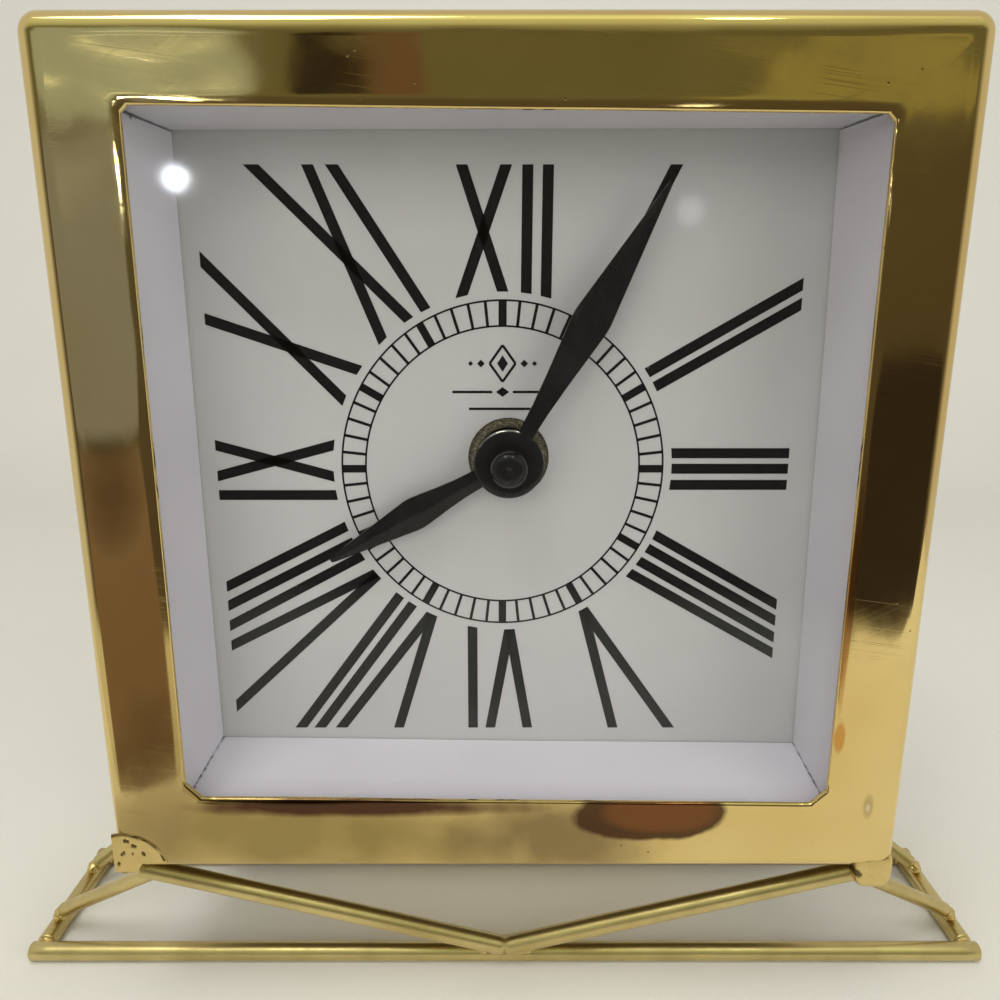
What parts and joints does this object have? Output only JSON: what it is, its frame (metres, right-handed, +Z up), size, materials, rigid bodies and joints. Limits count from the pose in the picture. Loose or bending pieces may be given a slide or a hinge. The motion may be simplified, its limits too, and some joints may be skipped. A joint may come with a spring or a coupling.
{
  "type": "mantel clock",
  "caption": "Square brass mantel clock on an open base of brass rods, with a glazed recessed dial, Roman numerals, black hands and a battery quartz movement.",
  "frame": {"origin": "on the table under the middle of the clock: centre of the bounding box in X and Y, lowest point in Z", "axes": "+X to the right seen from the front, +Y to the back (the dial faces -Y), +Z up"},
  "size_m": [0.208, 0.0618, 0.185],
  "materials": {
    "polished_brass": "polished and lacquered, with fine scratches and pits",
    "satin_brass": "satin, drawn rod",
    "braze": "brazed filler, lumpy and pitted",
    "glass": "clear, flat",
    "white_lining": "white laminated strip, semi-matt",
    "dial_print": "printed card, matt white with black numerals",
    "fibreboard": "raw fibreboard",
    "pine": "raw softwood",
    "black_board": "black painted fibreboard",
    "black_plastic": "moulded, fine spark texture",
    "white_plastic": "moulded acetal",
    "hand_black": "gloss black",
    "steel": "plated",
    "copper_wire": "enamelled copper winding",
    "rubber": "matt",
    "circuit_green": "solder resist",
    "cell_jacket": "plain printed jacket"
  },
  "bodies": {
    "root": {"case_shell": "polished_brass", "front_glass": "glass", "liner_top": "white_lining", "liner_bottom": "white_lining", "liner_left": "white_lining", "liner_right": "white_lining", "dial_card": "dial_print", "dial_board": "fibreboard", "back_panel": "black_board", "housing_front": "black_plastic", "housing_back": "black_plastic", "rubber_washer": "rubber", "brass_washer": "satin_brass", "hex_nut": "satin_brass", "stator": "steel", "coil": "copper_wire", "circuit_board": "circuit_green", "quartz_crystal": "steel", "battery": "cell_jacket", "contact_positive": "steel", "contact_negative": "steel", "corner_block_top_left": "pine", "back_screw_top_left": "steel", "corner_block_top_right": "pine", "back_screw_top_right": "steel", "corner_block_bottom_left": "pine", "back_screw_bottom_left": "steel", "corner_block_bottom_right": "pine", "back_screw_bottom_right": "steel", "rail_front": "satin_brass", "rail_back": "satin_brass", "rail_left": "satin_brass", "rail_right": "satin_brass", "strut_front_left": "satin_brass", "strut_side_front_left": "satin_brass", "braze_front_left": "braze", "strut_front_right": "satin_brass", "strut_side_front_right": "satin_brass", "braze_front_right": "braze", "strut_back_left": "satin_brass", "strut_side_back_left": "satin_brass", "braze_back_left": "braze", "strut_back_right": "satin_brass", "strut_side_back_right": "satin_brass", "braze_back_right": "braze"},
    "minute": {"minute_arbor": "steel", "minute_hand": "hand_black", "hand_cap": "hand_black"},
    "hour": {"hour_wheel": "white_plastic", "hour_hand": "hand_black"},
    "motion": {"motion_wheel": "white_plastic", "set_knob": "black_plastic"},
    "rotor_body": {"rotor": "steel"},
    "intermediate": {"intermediate_wheel": "white_plastic"},
    "seconds": {"seconds_wheel": "white_plastic"},
    "third": {"third_wheel": "white_plastic"},
    "centre": {"centre_wheel": "steel"}
  },
  "joints": [
    {"name": "minute_spin", "type": "hinge", "parent": "root", "child": "minute", "pos_m": [0.0007, 0, 0.1106], "axis": [0, 1, 0], "continuous": true},
    {"name": "hour_spin", "type": "hinge", "parent": "root", "child": "hour", "pos_m": [0.0007, 0, 0.1106], "axis": [0, 1, 0], "continuous": true},
    {"name": "set_spin", "type": "hinge", "parent": "root", "child": "motion", "pos_m": [0.01232, 0, 0.11265], "axis": [0, 1, 0], "continuous": true},
    {"name": "rotor_spin", "type": "hinge", "parent": "root", "child": "rotor_body", "pos_m": [0.00933, 0, 0.12944], "axis": [0, 1, 0], "continuous": true},
    {"name": "intermediate_spin", "type": "hinge", "parent": "root", "child": "intermediate", "pos_m": [0.00453, 0, 0.12112], "axis": [0, 1, 0], "continuous": true},
    {"name": "seconds_spin", "type": "hinge", "parent": "root", "child": "seconds", "pos_m": [0.0007, 0, 0.1106], "axis": [0, 1, 0], "continuous": true},
    {"name": "third_spin", "type": "hinge", "parent": "root", "child": "third", "pos_m": [-0.00719, 0, 0.11849], "axis": [0, 1, 0], "continuous": true},
    {"name": "centre_spin", "type": "hinge", "parent": "root", "child": "centre", "pos_m": [0.0007, 0, 0.1106], "axis": [0, 1, 0], "continuous": true}
  ],
  "couplings": [
    {"joint": "hour_spin", "follows": "minute_spin", "ratio": 0.083333},
    {"joint": "set_spin", "follows": "minute_spin", "ratio": -0.33333},
    {"joint": "intermediate_spin", "follows": "rotor_spin", "ratio": -0.2},
    {"joint": "seconds_spin", "follows": "rotor_spin", "ratio": 0.033333},
    {"joint": "third_spin", "follows": "rotor_spin", "ratio": -0.0044444},
    {"joint": "centre_spin", "follows": "rotor_spin", "ratio": 0.00055556}
  ]
}
